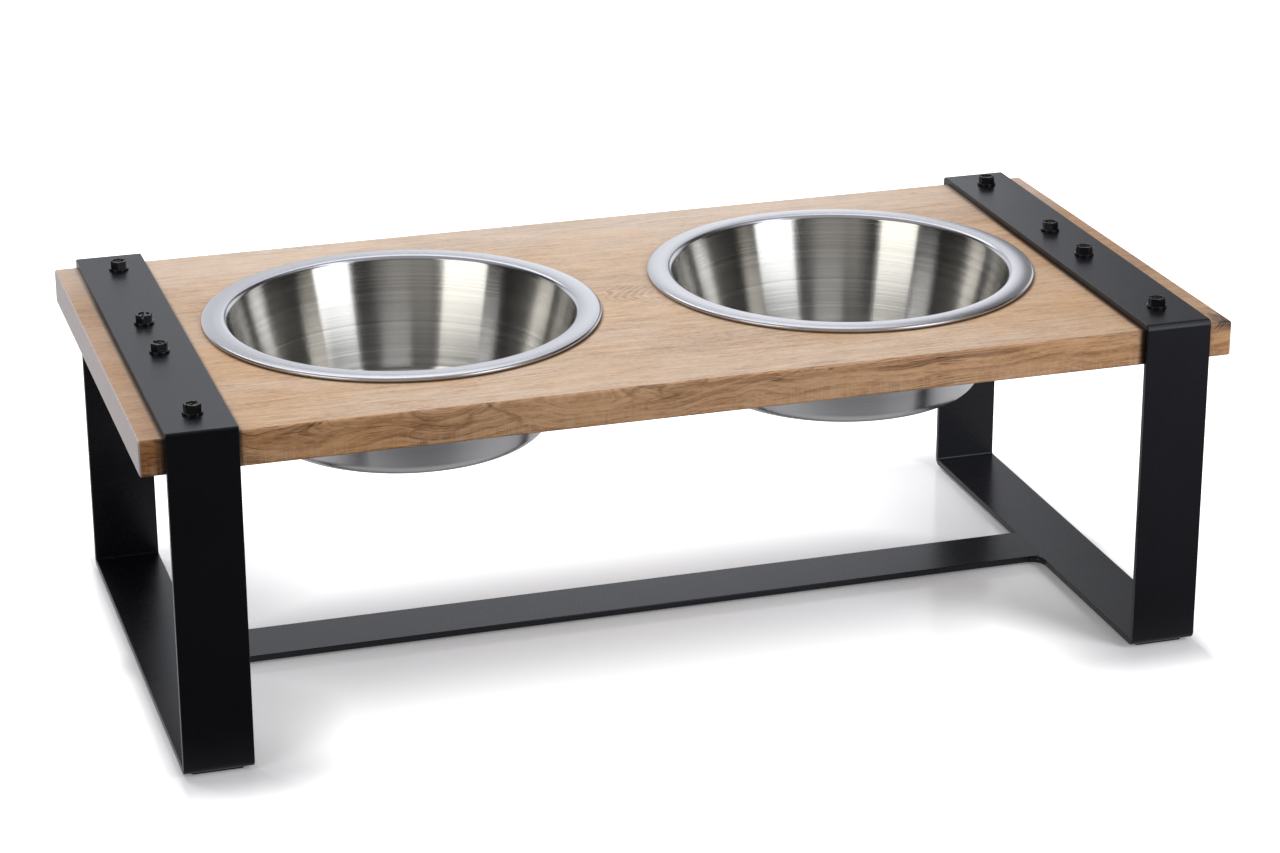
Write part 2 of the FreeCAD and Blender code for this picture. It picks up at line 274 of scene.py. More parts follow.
def add_lamp(name, place, watts, size, mirrored, colour):
    light = bpy.data.lights.new(name, "AREA")
    light.shape = "RECTANGLE"
    light.size, light.size_y = size
    light.energy = watts
    light.color = colour
    lamp = bpy.data.objects.new(name, light)
    bpy.context.collection.objects.link(lamp)
    lamp.location = place
    lamp.rotation_euler = (LAMP_TARGET - Vector(place)).to_track_quat("-Z", "Y").to_euler()
    lamp.visible_camera = False
    lamp.visible_diffuse = not mirrored
    lamp.visible_glossy = mirrored
    print(name, "at", place, "with", watts, "W")


for lamp in LAMPS:
    add_lamp(*lamp)

# %% [markdown]
# ## The floor
# The floor is a white sheet with a slight gloss. To the camera it is part glow and part lit
# surface: beside the bars on it the glow is low, so their soft shadows stay, and a hand's width
# away it is pure white. To diffuse light and mirrors it is a plain pale grey, and dimmer in front
# of the stand, where the dark studio begins: that keeps the bars black and the steel full of
# contrast.

# %% A pale floor that keeps the shadow
FLOOR_SIZE = 8.0
NEAR_GLOW, MIRROR_GLOW, WHITE_BY = 0.14, 0.2, 0.195
PALE_FLOOR, DIM_RIGHT, DIM_LEFT = (0.62, 0.62, 0.62), (0.26, 0.26, 0.27), (0.08, 0.08, 0.08)
SEEN_WHITE, MATT, GLOSS_SEEN = (0.95, 0.95, 0.985), 0.9, 0.76
# how fast the shadow fades on each side of a bar, against its plain distance
OUTSIDE_PACE, OUTSIDE_JUMP, BEFORE_PACE = 8, 0.035, 3.2
INSIDE_PACE, INSIDE_FRONT_PACE, STRETCHER_PACE, STRETCHER_REAR_PACE = 0.9, 1.3, 1.2, 0.3
STRIP_LOW, STRIP_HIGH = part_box("right_leg_loop")
STRIP_X, STRIP_HALF = (STRIP_LOW.x + STRIP_HIGH.x) / 2, (STRIP_HIGH.x - STRIP_LOW.x) / 2


def from_bars(sheet, x, y):
    """How far a point of the floor lies from the bars on it, by the pace of their shadows."""
    outside = abs(x) - STRIP_X
    outside = outside.math("MAXIMUM", outside - STRIP_HALF, 0)
    inside = STRIP_X - STRIP_HALF - abs(x)
    inside = inside.math("MAXIMUM", inside, 0)
    before = abs(y) - STRIP_HIGH.y
    before = before.math("MAXIMUM", before, 0)
    outside = OUTSIDE_PACE * outside + OUTSIDE_JUMP * sheet.step(outside, 0.0, 3 * MM)
    inside = inside * (INSIDE_PACE + INSIDE_FRONT_PACE * sheet.step(-1 * y, 0.06, 0.15))
    from_strip = ((inside + outside) ** 2 + (BEFORE_PACE * before) ** 2) ** 0.5
    pace = STRETCHER_PACE + STRETCHER_REAR_PACE * sheet.step(y, 0.0, 0.02)
    from_stretcher = pace * (abs(y) - STRIP_HALF) + outside
    return from_strip.math("MINIMUM", from_strip, from_stretcher)


def make_floor_finish():
    sheet = Finish(bpy.data.materials.new("white_floor"))
    x = sheet.node("SeparateXYZ", sockets={"Vector": sheet.node("TexCoord", out="Object")})
    y = x.output("Y")
    path = sheet.node("LightPath", out="Is Camera Ray")
    mirror = path.math("MAXIMUM", path.output("Is Glossy Ray"), path.output("Is Transmission Ray"))
    front = sheet.step(-1 * y, 0.12, 0.22)
    white = sheet.step(from_bars(sheet, x, y), 0.0, WHITE_BY)
    glow = path * (NEAR_GLOW + (1 - NEAR_GLOW) * white) + MIRROR_GLOW * mirror * (1 - front)
    dim = sheet.blend(sheet.step(-1 * x, -0.25, 0.2), DIM_RIGHT, DIM_LEFT)
    colour = sheet.blend(path, sheet.blend(front, PALE_FLOOR, dim), SEEN_WHITE)
    sockets = {
        "Base Color": colour, "Roughness": MATT - GLOSS_SEEN * path, "Specular IOR Level": 0.4,
        "Emission Color": sheet.blend(glow, (0, 0, 0), (1, 1, 1)), "Emission Strength": 1.0,
    }
    return sheet.surface(sheet.node("BsdfPrincipled", sockets=sockets))


floor_mesh = bmesh.new()
bmesh.ops.create_grid(floor_mesh, x_segments=1, y_segments=1, size=FLOOR_SIZE / 2)
floor = bpy.data.objects.new("white_floor", bpy.data.meshes.new("white_floor"))
floor_mesh.to_mesh(floor.data)
floor_mesh.free()
bpy.context.collection.objects.link(floor)
floor.data.materials.append(make_floor_finish())
print("floor:", FLOOR_SIZE, "m wide")

# %% [markdown]
# ## Wood
# The board is one slab of an oiled tan hardwood. An image would stretch on the edges of a slab, so
# the wood is solid: its pattern is worked out for every point in space, measured from the middle of
# the board. A first helper asks what kind of face a point is on, the top, a long edge or a sawn end,
# because each shows the wood in another way. The noises that the wood needs differ only in how they
# are stretched, so they stand in one table: long and thin for fibres, broad and slow for clouds.

# %% Where a point lies on the board, and the noises of the wood
BOARD_LOW, BOARD_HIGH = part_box("board")
BOARD_HALF = (BOARD_HIGH - BOARD_LOW) / 2
BOARD_MIDDLE = (BOARD_HIGH + BOARD_LOW) / 2
OUT_OF_SQUARE = math.radians(0.65)
EDGE_BAND, END_BAND, TOP_BAND = (1.5 * MM, 0.8 * MM), (1.3 * MM, 0.5 * MM), (1.0 * MM, 0.2 * MM)
GRAINS = {
    # waves per metre along, across and up the board, shift, detail and roughness
    "drift": ((5, 11, 11), (0, 0, 0), 2.0, 0.5),
    "ripple": ((38, 60, 60), (0, 0, 0), 1.0, 0.5),
    "bow": ((11, 1, 30), (2.3, 0, 0), 1.0, 0.5),
    "fibre": ((20, 480, 480), (0, 0, 0), 4.0, 0.65),
    "fleck": ((240, 760, 760), (0, 0, 0), 2.0, 0.7),
    "curl": ((45, 150, 150), (1.3, 0, 0), 3.0, 0.6),
    "patch": ((5, 13, 13), (3.1, 0, 0), 3.0, 0.5),
    "warmth": ((7, 16, 16), (0, 0, 5.3), 2.0, 0.5),
    "gold": ((42, 75, 75), (0, 2.1, 0), 1.0, 0.5),
    "pores": ((75, 1250, 1250), (0, 0, 0), 0.0, 0.5),
    "pore_fields": ((9, 30, 30), (0, 1.7, 0), 2.0, 0.5),
    "checks": ((7, 700, 700), (4.0, 0, 0), 0.0, 0.5),
    "wander": ((90, 90, 210), (0.7, 0, 0), 2.0, 0.6),
    "saw": ((900, 30, 30), (0, 0, 0), 0.0, 0.5),
    "slash": ((900, 90, 1), (0, 0, 0), 2.0, 0.5),
}


def start_wood():
    """Measures a point from the board's middle, and tells edges, ends and top apart."""
    wood = Finish(bpy.data.materials.new("oiled_hardwood"))
    wood.place = wood.stretch(wood.node("TexCoord", out="Object"), (1, 1, 1), -BOARD_MIDDLE)
    wood.x = wood.node("SeparateXYZ", sockets={"Vector": wood.place})
    wood.y, wood.z = wood.x.output("Y"), wood.x.output("Z")
    wood.skewed = wood.x + math.tan(OUT_OF_SQUARE) * wood.y * wood.step(wood.x, 0, 0.1)

    def outermost(distance, half, band):
        return wood.step(distance, half - band[0], half - band[1])

    wood.edge = outermost(abs(wood.y), BOARD_HALF.y, EDGE_BAND)
    wood.end = outermost(abs(wood.skewed), BOARD_HALF.x, END_BAND)
    wood.top = outermost(wood.z, BOARD_HALF.z, TOP_BAND)
    return wood


def grain(wood, name, place=None):
    scale, shift, detail, roughness = GRAINS[name]
    return wood.noise(wood.stretch(place or wood.place, scale, shift), 1.0, detail, roughness)


def oval(wood, middle_x, middle_y, half_long, half_wide, core):
    """A soft oval on top of the board, full inside its core."""
    reach = ((wood.x - middle_x) / half_long) ** 2 + ((wood.y - middle_y) / half_wide) ** 2
    return wood.top * (1 - wood.step(reach, core, 1.0))


print("board in mm:", [round(2 * value / MM, 1) for value in BOARD_HALF], "with", len(GRAINS), "noises")

# %% [markdown]
# ## Growth rings
# A tree grows in layers round its heart, so a ring is a distance from the heart. The heart of this
# log slopes through the top of the board, which is why the rings nest into arches there. Slow noise
# bends them, as no log grows straight. The long edges cut past knots, and there the layers swell
# round each knot instead.

# %% Layers round the heart and round the knots
HEART_X, HEART_Y, HEART_RUN, HEART_DEPTH = 45 * MM, -4 * MM, 60 * MM, 18 * MM
TOP_RINGS, EDGE_RINGS = 300, 330
SIDE_DRIFT, SIDE_RIPPLE, DEPTH_DRIFT, BOW_HEIGHT = 30 * MM, 2.2 * MM, 12 * MM, 85 * MM
KNOTS = [(-252, 22), (-150, 24), (-22, 25)]  # along and up from the middle, in mm
KNOT_NEAR, KNOT_FAR, KNOT_LENGTH, KNOT_RIPPLE = 14 * MM, 40 * MM, 0.55, 9 * MM


def growth_rings(wood):
    x, z = wood.x, wood.z
    drift, ripple, bow = (grain(wood, name) - 0.5 for name in ("drift", "ripple", "bow"))
    across = wood.y - HEART_Y + SIDE_DRIFT * drift + SIDE_RIPPLE * ripple
    run = (HEART_X - x) / HEART_RUN
    above = z - BOARD_HALF.z + HEART_DEPTH * run.math("TANH", run) + DEPTH_DRIFT * drift
    wood.lie = wood.node("CombineXYZ", sockets={0: x, 1: across, 2: z})
    wood.top_rings = wood.layers(TOP_RINGS * (across * across + above * above) ** 0.5, 2.0)

    livelier = 0.25 + 0.75 * wood.step(0.1 - x, 0.0, 0.15)
    layer = z + BOW_HEIGHT * bow * livelier
    for knot_x, knot_z in KNOTS:
        along, up = KNOT_LENGTH * (x - knot_x * MM), z - knot_z * MM
        round_knot = (along ** 2 + up ** 2) ** 0.5 + KNOT_RIPPLE * ripple
        near = 1 - wood.step(round_knot, KNOT_NEAR, KNOT_FAR)
        layer = layer + near * (round_knot - layer)
    wood.edge_rings = wood.layers(EDGE_RINGS * layer, 3.0)
    return wood.top_rings + wood.edge * (wood.edge_rings - wood.top_rings)


print("knots on the long edges:", len(KNOTS))

# %% [markdown]
# ## Fibres
# Up close the colour of wood is mostly its fibres: long streaks, short flecks and a slight curl.
# They are added to the rings as one number, a tone, and a colour ramp turns the tone into brown,
# tan or pale wood. Between the bowls the top has a small figure of nested arrow shapes, and golden
# clouds lie over all of it.

# %% One tone, and its colour
WOOD_PALE, WOOD_TAN, WOOD_BROWN = (0.80, 0.61, 0.46), (0.66, 0.47, 0.33), (0.42, 0.27, 0.17)
WOOD_GOLD = (1.0, 0.92, 0.78)
TONE_STOPS = [(0.22, WOOD_BROWN), (0.5, WOOD_TAN), (0.78, WOOD_PALE)]
FIBRE_SHARE, FLECK_SHARE, CURL_SHARE = 0.8, 0.65, 0.6
FIGURE = (1 * MM, -4 * MM, 24 * MM, 28 * MM)
FIGURE_WAVES, FIGURE_CURL, FIGURE_SHARE, FIGURE_TIP = 1150, 6.0, 0.1, 5 * MM


def figure(wood, curl):
    """Waves nested like arrow heads in the middle of the top."""
    from_axis = ((wood.y - FIGURE[1]) ** 2 + FIGURE_TIP ** 2) ** 0.5
    nested = wood.x - 1.1 * from_axis
    waves = nested.math("SINE", FIGURE_WAVES * nested + FIGURE_CURL * curl)
    return FIGURE_SHARE * waves * oval(wood, *FIGURE, 0.1)


def fibre_colour(wood, rings):
    edge = wood.edge
    wood.fibre, wood.fleck = grain(wood, "fibre", wood.lie), grain(wood, "fleck")
    curl, wood.patch = grain(wood, "curl"), grain(wood, "patch")
    tone = 0.5 + (0.22 + 0.7 * edge) * (rings - 0.5) + (0.6 + 0.1 * edge) * (wood.patch - 0.5)
    tone = tone + FIBRE_SHARE * (wood.fibre - 0.5) + FLECK_SHARE * (wood.fleck - 0.5)
    tone = tone + CURL_SHARE * (curl - 0.5) + figure(wood, curl)
    colour = wood.node("ValToRGB", {"stops": TONE_STOPS}, {"Fac": tone})
    golden = wood.step(grain(wood, "warmth"), 0.42, 0.68)
    golden = golden + 0.7 * wood.step(grain(wood, "gold"), 0.58, 0.72)
    return wood.blend(golden, colour, WOOD_GOLD, "MULTIPLY")


print("tones:", len(TONE_STOPS))

# %% [markdown]
# ## Dark marks and painted contact shadows
# Pores are short dashes along the grain, and checks are long hairlines. They come in fields, so a
# slow noise gates them. The edges add dark seams between rings and soft veins that wander across
# the face, and the top has a few lines and specks at places of their own. A painted contact shadow
# also darkens the wood in a line where a flange or a bar lies on it, which ties the parts together.

# %% Pores, veins and painted contact shadows
BOWL_LOW, BOWL_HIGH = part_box("right_bowl")
BOWL_X, BOWL_Y = (BOWL_LOW.x + BOWL_HIGH.x) / 2, (BOWL_LOW.y + BOWL_HIGH.y) / 2
FLANGE_RADIUS = (BOWL_HIGH.x - BOWL_LOW.x) / 2
# the pore brown also paints the contact shadow round each flange, and the scorch black also paints the
# contact shadow beside each bar
PORE_AND_SHADOW_BROWN, SCORCH_AND_SHADOW_BLACK = (0.16, 0.09, 0.05), (0.02, 0.012, 0.009)
SEAM_RING, SEAM_SHARE, CHECK_SHARE, VEIN_SHARE, MARK_SHARE = 0.46, 0.55, 0.6, 0.42, 0.45
VEIN_WANDER, VEIN_HALF, VEIN_FADE = 24 * MM, 5 * MM, 9 * MM
VEINS = [
    # place along the edge in mm, slant, and the height in mm at which it fades out
    (-258, 3.5, -2), (-141, 1.7, -8), (-113, -1.4, -9), (-60, 2.2, 0), (-22, -0.9, -4), (20, 4.0, 2),
]
MARKS = [
    # place along and across the top, half length and half width, in mm
    (-48, 139, 9, 0.7), (-15, 139, 8, 0.7), (238, 141, 3, 2.0), (-37, -51, 1.2, 1.0),
    (-122, -117, 1.5, 1.0), (-12, -35.5, 13, 0.8), (-9, 8, 2.5, 3.5),
]


def dark_marks(wood):
    edge = wood.edge
    fields = grain(wood, "pore_fields")
    dashes = wood.step(grain(wood, "pores", wood.lie), 0.66, 0.78)
    wood.pores = dashes * wood.step(fields, 0.40, 0.66) * (0.4 + 0.5 * edge)
    checks = wood.step(grain(wood, "checks", wood.lie), 0.80, 0.86) * wood.step(fields, 0.5, 0.6)
    seams = edge * (1 - wood.step(abs(wood.edge_rings - SEAM_RING), 0.006, 0.035))
    dark = wood.pores + CHECK_SHARE * checks + SEAM_SHARE * seams * wood.step(fields, 0.42, 0.58)
    wander = VEIN_WANDER * (grain(wood, "wander") - 0.5)
    for vein_x, slant, depth in VEINS:
        aside = abs(wood.x - vein_x * MM - slant * wood.z - wander)
        upper = wood.step(wood.z, depth * MM, depth * MM + VEIN_FADE)
        vein = (1 - wood.step(aside, 0, VEIN_HALF)) * upper
        dark = dark + VEIN_SHARE * edge * vein * (0.5 + wood.fibre)
    for mark in MARKS:
        dark = dark + MARK_SHARE * oval(wood, *(value * MM for value in mark), 0.2)
    return dark


def marks_and_contact_shadows(wood, colour, dark):
    """Darkens the marks, and paints contact shadow round each flange and beside each bar."""
    from_bowl = ((abs(wood.x) - BOWL_X) ** 2 + (wood.y - BOWL_Y) ** 2) ** 0.5
    # painted contact shadow: a dark ring of wood round each flange, deeper on the near side
    ring = wood.top * wood.step(from_bowl, FLANGE_RADIUS + 2.4 * MM, FLANGE_RADIUS - 0.2 * MM)
    dark = dark + (0.3 + 0.6 * wood.step(BOWL_Y - wood.y, 0.0, 0.06)) * ring
    colour = wood.blend(dark, colour, PORE_AND_SHADOW_BROWN)
    # painted contact shadow: the wood beside each bar goes near black
    from_bar = abs(abs(wood.x) - STRIP_X) - STRIP_HALF
    return wood.blend(0.9 * (1 - wood.step(from_bar, 0.5 * MM, 3.5 * MM)), colour, SCORCH_AND_SHADOW_BLACK)


print("veins:", len(VEINS), "and marks:", len(MARKS))

# %% [markdown]
# ## Tints, painted sheen, sawn ends and a scorched corner
# The board is not one colour from end to end: the stubs outside the bars are duller, the left and
# right thirds are warmer, the back of the top is paled by a painted sheen, and the long edges are
# browner, with faint strokes of the saw. The sawn ends show rings head on, greyer and paler, partly
# end grain and partly a painted sheen, and the right front corner is scorched.

# %% Tints by place
STUB_FROM, STUB_BY = STRIP_HIGH.x, STRIP_HIGH.x + 4 * MM
STUB_TOP, STUB_EDGE = (0.71, 0.63, 0.55), (0.58, 0.48, 0.37)
TOP_TINTS = [
    # to the right or left, where the tint starts and where it is full, and its colour
    (1, STUB_FROM, STUB_BY, (0.80, 0.74, 0.71)),
    (-1, 0.19, 0.25, (0.98, 0.93, 0.87)),
    (1, 0.14, 0.27, (0.94, 0.86, 0.76)),
]
REAR_FROM, REAR_BY, REAR_SHARE, REAR_SHEEN_PALE = 0.05, 0.15, 0.3, (0.95, 0.85, 0.76)
EDGE_TINT, SAW_SHARE = (0.83, 0.66, 0.49), 0.22
# the pale grey of the sawn ends is partly end grain and partly a painted sheen of the bright backdrop
END_GREY_AND_SHEEN, END_DARK_AND_SHEEN, END_SHARE = (0.64, 0.55, 0.55), (0.56, 0.475, 0.475), 0.95
CORNER_PACE, SLASH_REACH, SCORCH_SHARE = (0.5, 0.35, 1.3), 22 * MM, 0.96


def tint_by_place(wood, colour):
    edge, flat = wood.edge, 1 - wood.edge
    left_stub = wood.step(-1 * wood.x, STUB_FROM, STUB_BY)
    colour = wood.blend(left_stub, colour, wood.blend(edge, STUB_TOP, STUB_EDGE), "MULTIPLY")
    for side, start, full, tint in TOP_TINTS:
        colour = wood.blend(wood.step(side * wood.x, start, full) * flat, colour, tint, "MULTIPLY")
    # painted sheen: the back of the top is paled towards white
    rear = REAR_SHARE * wood.step(wood.y, REAR_FROM, REAR_BY) * flat
    colour = wood.blend(rear, colour, REAR_SHEEN_PALE)
    colour = wood.blend(edge, colour, EDGE_TINT, "MULTIPLY")
    strokes = wood.step(grain(wood, "saw"), 0.52, 0.66) * wood.step(wood.patch - 25 * wood.z, 0.48, 0.7)
    return wood.blend(SAW_SHARE * edge * strokes, colour, WOOD_TAN)


def sawn_ends(wood, colour):
    # painted sheen: the ends' pale grey stands partly for the backdrop's sheen at a grazing angle
    end_grain_and_sheen = wood.blend(wood.step(wood.top_rings, 0.35, 0.65), END_DARK_AND_SHEEN, END_GREY_AND_SHEEN)
    colour = wood.blend(END_SHARE * wood.end, colour, end_grain_and_sheen)
    corner = (wood.skewed - BOARD_HALF.x, wood.y + BOARD_HALF.y, wood.z - BOARD_HALF.z)
    from_end, from_front, from_top = (pace * gap for pace, gap in zip(CORNER_PACE, corner))
    away = (from_end ** 2 + from_front ** 2 + from_top ** 2) ** 0.5
    across_corner = wood.node("CombineXYZ", sockets={0: wood.x - wood.z, 1: wood.y})
    away = away + SLASH_REACH * (grain(wood, "slash", across_corner) - 0.5)
    return wood.blend(SCORCH_SHARE * (1 - wood.step(away, 2 * MM, 8 * MM)), colour, SCORCH_AND_SHADOW_BLACK)


print("tints on top:", len(TOP_TINTS))

# %% [markdown]
# ## The wood as one finish
# The layers go over one another in the order in which a real board gets them: growth, then pores
# and stains with the painted contact shadows, then what the saw did. Fibres and pores also roughen
# the surface. That relief is far finer than a pixel, so Bump is enough for it, and the sawn ends stay
# smooth.

# %% Put the wood together
WOOD_ROUGH, WOOD_RELIEF = 0.42, 0.2 * MM


def make_wood():
    wood = start_wood()
    colour = fibre_colour(wood, growth_rings(wood))
    colour = marks_and_contact_shadows(wood, colour, dark_marks(wood))
    colour = sawn_ends(wood, tint_by_place(wood, colour))
    fibre, pores, long_grain = wood.fibre, wood.pores, 1 - wood.end
    rough = WOOD_ROUGH + (0.16 * (fibre - 0.5) + 0.2 * pores) * long_grain - 0.1 * wood.end
    height = (0.6 * fibre + 0.4 * wood.fleck - 0.9 * pores) * long_grain
    normal = wood.node("Bump", sockets={"Strength": 0.25, "Distance": WOOD_RELIEF, "Height": height})
    sockets = {"Base Color": colour, "Roughness": rough, "Normal": normal}
    return wood.surface(wood.node("BsdfPrincipled", sockets=sockets))


WOOD = make_wood()
print("wood nodes:", len(WOOD.node_tree.nodes))

# %% [markdown]
# ## Powder coat
# The bars are mild steel under a satin black powder coat. The coat is nearly black, but it takes
# a soft sheen where the light grazes it, and it has a very fine orange-peel grain and faint clouds
# where it was handled. Paint is not a metal, so Metallic stays at 0.

# %% The powder coat finish
COAT_DEEP, COAT_WORN = (0.0015, 0.0015, 0.0025), (0.004, 0.004, 0.006)
COAT_SHEEN, COAT_ROUGH, COAT_RELIEF = (0.88, 0.90, 1.0, 1.0), 0.28, 0.05 * MM


def make_powder_coat():
    coat = Finish(bpy.data.materials.new("black_powder_coat"))
    place = coat.node("TexCoord", out="Object")
    cloud = coat.noise(place, 16, 4.0, 0.6)
    speck = coat.noise(place, 2600, 1.0)
    peel = coat.noise(place, 700, 2.0)
    rough = COAT_ROUGH + 0.12 * (cloud - 0.5) + 0.08 * (speck - 0.5)
    height = peel + 0.3 * speck
    normal = coat.node("Bump", sockets={"Strength": 0.25, "Distance": COAT_RELIEF, "Height": height})
    sockets = {
        "Base Color": coat.blend(cloud, COAT_DEEP, COAT_WORN), "Roughness": rough, "Normal": normal,
        "Specular IOR Level": 0.42, "Specular Tint": COAT_SHEEN,
    }
    return coat.surface(coat.node("BsdfPrincipled", sockets=sockets))


POWDER_COAT = make_powder_coat()
print("powder coat nodes:", len(POWDER_COAT.node_tree.nodes))

# %% [markdown]
# ## Brushed steel
# The bowls are spun stainless. The wall is brushed round and round, so a light shows on it as an
# upright band: the fine scratches spread a reflection across their own direction. The Anisotropic
# setting does that. Both bowls share the finish, so distance from the nearer bowl's axis comes
# from the absolute value of X. The flange is the same steel rubbed to an even satin, and the
# outside is left cooler and plainer, as it came from the spinning.

# %% The steel finishes
# how much the lines change round the bowl, how many come to a metre, and their detail
SCRATCHES, STREAKS = (0.3, 720, 2.0), (0.2, 260, 3.0)


def make_steel(name, pale, dark, roughness, anisotropic):
    steel = Finish(bpy.data.materials.new(name))
    place = steel.node("TexCoord", out="Object")
    x = steel.node("SeparateXYZ", sockets={"Vector": place})
    out_x, out_y = abs(x) - BOWL_X, x.output("Y") - BOWL_Y
    radius = (out_x * out_x + out_y * out_y) ** 0.5 + 1e-5
    along = radius + x.output("Z")

    def lines(turns, frequency, detail):
        sockets = {0: turns * out_x / radius, 1: turns * out_y / radius, 2: frequency * along}
        return steel.noise(steel.node("CombineXYZ", sockets=sockets), 1.0, detail, 0.6)

    scratch, streak = lines(*SCRATCHES), lines(*STREAKS)
    shade = 0.5 + 1.3 * (scratch - 0.5) + 0.8 * (streak - 0.5)
    colour = steel.blend(shade, dark, pale)
    rough = roughness + anisotropic * (0.08 * (scratch - 0.5) + 0.05 * (streak - 0.5))
    sockets = {
        "Base Color": colour, "Roughness": rough, "Metallic": 1.0,
        "Anisotropic": anisotropic, "Anisotropic Rotation": 0.25,
    }
    return steel.surface(steel.node("BsdfPrincipled", {"distribution": "GGX"}, sockets))


BRUSHED = make_steel("brushed_steel", (0.75, 0.74, 0.72), (0.46, 0.45, 0.43), 0.195, 1.0)
SATIN = make_steel("satin_steel", (0.66, 0.66, 0.69), (0.60, 0.60, 0.63), 0.22, 0.2)
SPUN = make_steel("spun_steel", (0.70, 0.70, 0.73), (0.60, 0.60, 0.63), 0.20, 1.0)
print("steel finishes:", BRUSHED.name, SATIN.name, "and", SPUN.name)

# %% [markdown]
# ## Small parts
# The screws are black coated steel, a little shinier than the bars and worn on their rims. The
# foot pads are soft matt rubber. Both are small, but each still has its own grain.

# %% The screw and rubber finishes
def make_small_finish(name, low, high, roughness, specks):
    finish = Finish(bpy.data.materials.new(name))
    place = finish.node("TexCoord", out="Object")
    cloud = finish.noise(place, 220, 3.0)
    speck = finish.noise(place, specks, 2.0)
    rough = roughness + 0.2 * (cloud - 0.5)
    normal = finish.node("Bump", sockets={"Strength": 0.2, "Distance": 0.05 * MM, "Height": speck})
    sockets = {"Base Color": finish.blend(cloud, low, high), "Roughness": rough, "Normal": normal}
    return finish.surface(finish.node("BsdfPrincipled", sockets=sockets))


SCREW_DEEP, SCREW_WORN = (0.002, 0.002, 0.003), (0.005, 0.005, 0.006)
RUBBER_DEEP, RUBBER_WORN = (0.012, 0.012, 0.012), (0.024, 0.024, 0.024)
SCREW_BLACK = make_small_finish("black_screw_coat", SCREW_DEEP, SCREW_WORN, 0.30, 1800)
RUBBER = make_small_finish("matt_rubber", RUBBER_DEEP, RUBBER_WORN, 0.75, 900)
print("small finishes:", SCREW_BLACK.name, "and", RUBBER.name)

# %% [markdown]
# ## From a bmesh to a piece
# Each new piece ends the same way: the bmesh becomes a mesh with its place in it, the faces are
# smooth, the piece is hung on the empty of the body it rides on and gets its finishes, and the CAD
# solid it stands for is hidden. A Weighted Normal modifier keeps the wide flat faces flat beside
# small rounded edges.

# %% Hand a shape over
def add_piece(shape, name, finishes, body, node=None, even=True):
    for face in shape.faces:
        face.smooth = True
    mesh = bpy.data.meshes.new(name)
    shape.to_mesh(mesh)
    shape.free()
    for finish in finishes:
        mesh.materials.append(finish)
    piece = bpy.data.objects.new(name, mesh)
    bpy.context.collection.objects.link(piece)
    if even:
        piece.modifiers.new("even_shading", "WEIGHTED_NORMAL")
    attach(piece, body)
    if node:
        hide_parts(node)
    print(name, len(mesh.polygons), "faces")
    return piece


def round_edges(shape, edges, size, segments):
    bmesh.ops.bevel(
        shape, geom=edges, offset=size, offset_type="OFFSET", segments=segments,
        profile=0.5, affect="EDGES", material=-1,
    )


def sharp_edges(shape, degrees=50):
    limit = math.radians(degrees)
    return [edge for edge in shape.edges if edge.is_manifold and edge.calc_face_angle() > limit]


print("piece helpers ready")

# %% [markdown]
# ## The board
# The slab has a round hole for each bowl and gently rounded arrises. A Boolean would cut the holes,
# but it leaves ragged faces for a bevel to work on. Here a flat outline and two circles are filled
# between, merged into a few large faces, raised to the board's thickness and bevelled. The right
# end was sawn a little out of square, so its vertices are turned by two thirds of a degree.

# %% Fill, raise and round the slab
CUTOUT_RADIUS = 106.324 * MM
ARRIS, CUTOUT_ARRIS = 1.4 * MM, 0.8 * MM


def make_board():
    slab = bmesh.new()
    bmesh.ops.create_grid(slab, x_segments=1, y_segments=1, size=0.5)
    bmesh.ops.scale(slab, vec=(*(2 * BOARD_HALF.xy), 1), verts=slab.verts)
    bmesh.ops.delete(slab, geom=slab.faces[:], context="FACES_ONLY")
    for centre in (-BOWL_X, BOWL_X):
        place = Matrix.Translation((centre, BOWL_Y, 0))
        bmesh.ops.create_circle(slab, segments=144, radius=CUTOUT_RADIUS, matrix=place)
    bmesh.ops.triangle_fill(slab, use_beauty=True, edges=slab.edges[:])
    bmesh.ops.dissolve_limit(slab, angle_limit=0.01, verts=[], edges=slab.edges[:])
    bmesh.ops.translate(slab, vec=(0, 0, BOARD_LOW.z), verts=slab.verts)
    raised = bmesh.ops.extrude_face_region(slab, geom=slab.faces[:])["geom"]
    top = [item for item in raised if isinstance(item, bmesh.types.BMVert)]
    bmesh.ops.translate(slab, vec=(0, 0, 2 * BOARD_HALF.z), verts=top)
    bmesh.ops.recalc_face_normals(slab, faces=slab.faces)
    outer = [
        edge for edge in sharp_edges(slab)
        if all(abs(v.co.x) > BOARD_HALF.x - MM or abs(v.co.y) > BOARD_HALF.y - MM for v in edge.verts)
    ]
    round_edges(slab, outer, ARRIS, 5)
    rims = [
        edge for edge in sharp_edges(slab)
        if abs(edge.verts[0].co.z - edge.verts[1].co.z) < MM / 10
    ]
    round_edges(slab, rims, CUTOUT_ARRIS, 2)
    right_end = [vert for vert in slab.verts if vert.co.x > BOARD_HALF.x - 3 * MM]
    turn = Matrix.Rotation(OUT_OF_SQUARE, 3, "Z")
    bmesh.ops.rotate(slab, cent=(BOARD_HALF.x, 0, 0), matrix=turn, verts=right_end)
    return slab


add_piece(make_board(), "wooden_board", [WOOD], "stand", "board")

# %% [markdown]
# ## The leg loops
# Each loop is flat bar that goes round the board and closes under it. Its shape is a box with no
# ends, and Solidify gives its four flat sides the bar's thickness inwards. Rounding the corners
# first would be quicker, but they are not all alike: the bar is bent at the feet, and crisper on
# top, most of all on the left loop. So each kind is found by its distance from the loop's middle
# and rounded on its own. The long edges of real bar are never knife sharp, so a small bevel follows.

